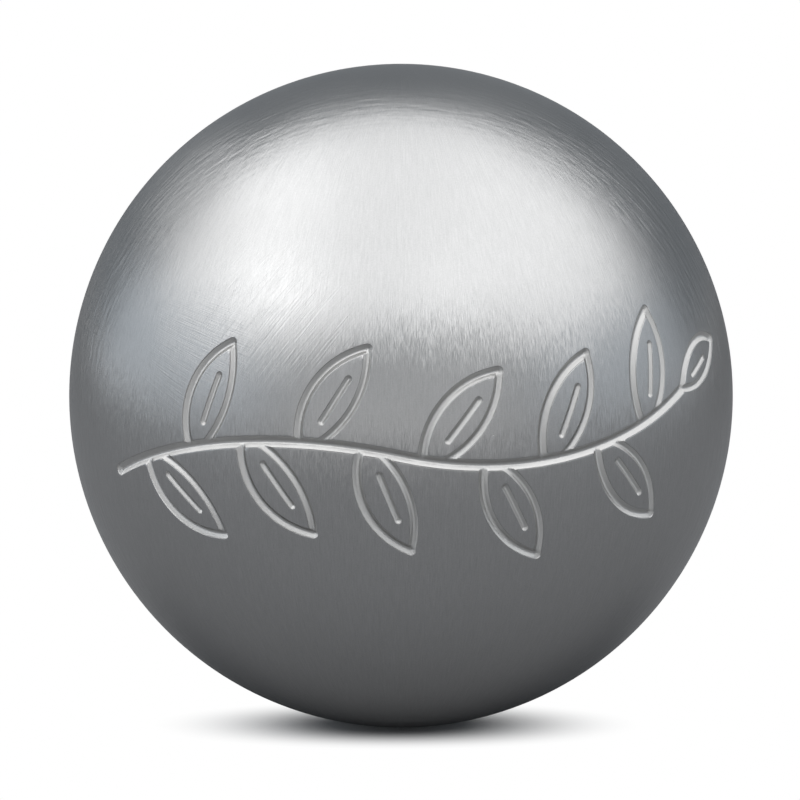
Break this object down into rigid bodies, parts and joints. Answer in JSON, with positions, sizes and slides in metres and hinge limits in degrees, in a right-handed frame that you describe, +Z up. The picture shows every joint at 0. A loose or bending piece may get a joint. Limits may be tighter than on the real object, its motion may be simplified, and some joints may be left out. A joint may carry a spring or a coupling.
{
  "type": "petanque boule",
  "caption": "Hollow steel throwing ball made of welded half shells, turned to a true sphere with a satin brushed finish and an engraved leaf sprig.",
  "frame": {"origin": "centre of the ball", "axes": "+Z up as the ball stands in the picture, +Y away from the viewer along the axis of the weld, so that -Y is the middle of the engraved front half shell"},
  "size_m": [0.074, 0.074, 0.074],
  "materials": {
    "brushed_shell": "satin",
    "weld_metal": "satin"
  },
  "bodies": {
    "root": {"front_half_shell": "brushed_shell", "rear_half_shell": "brushed_shell", "weld_bead": "weld_metal"}
  },
  "joints": []
}
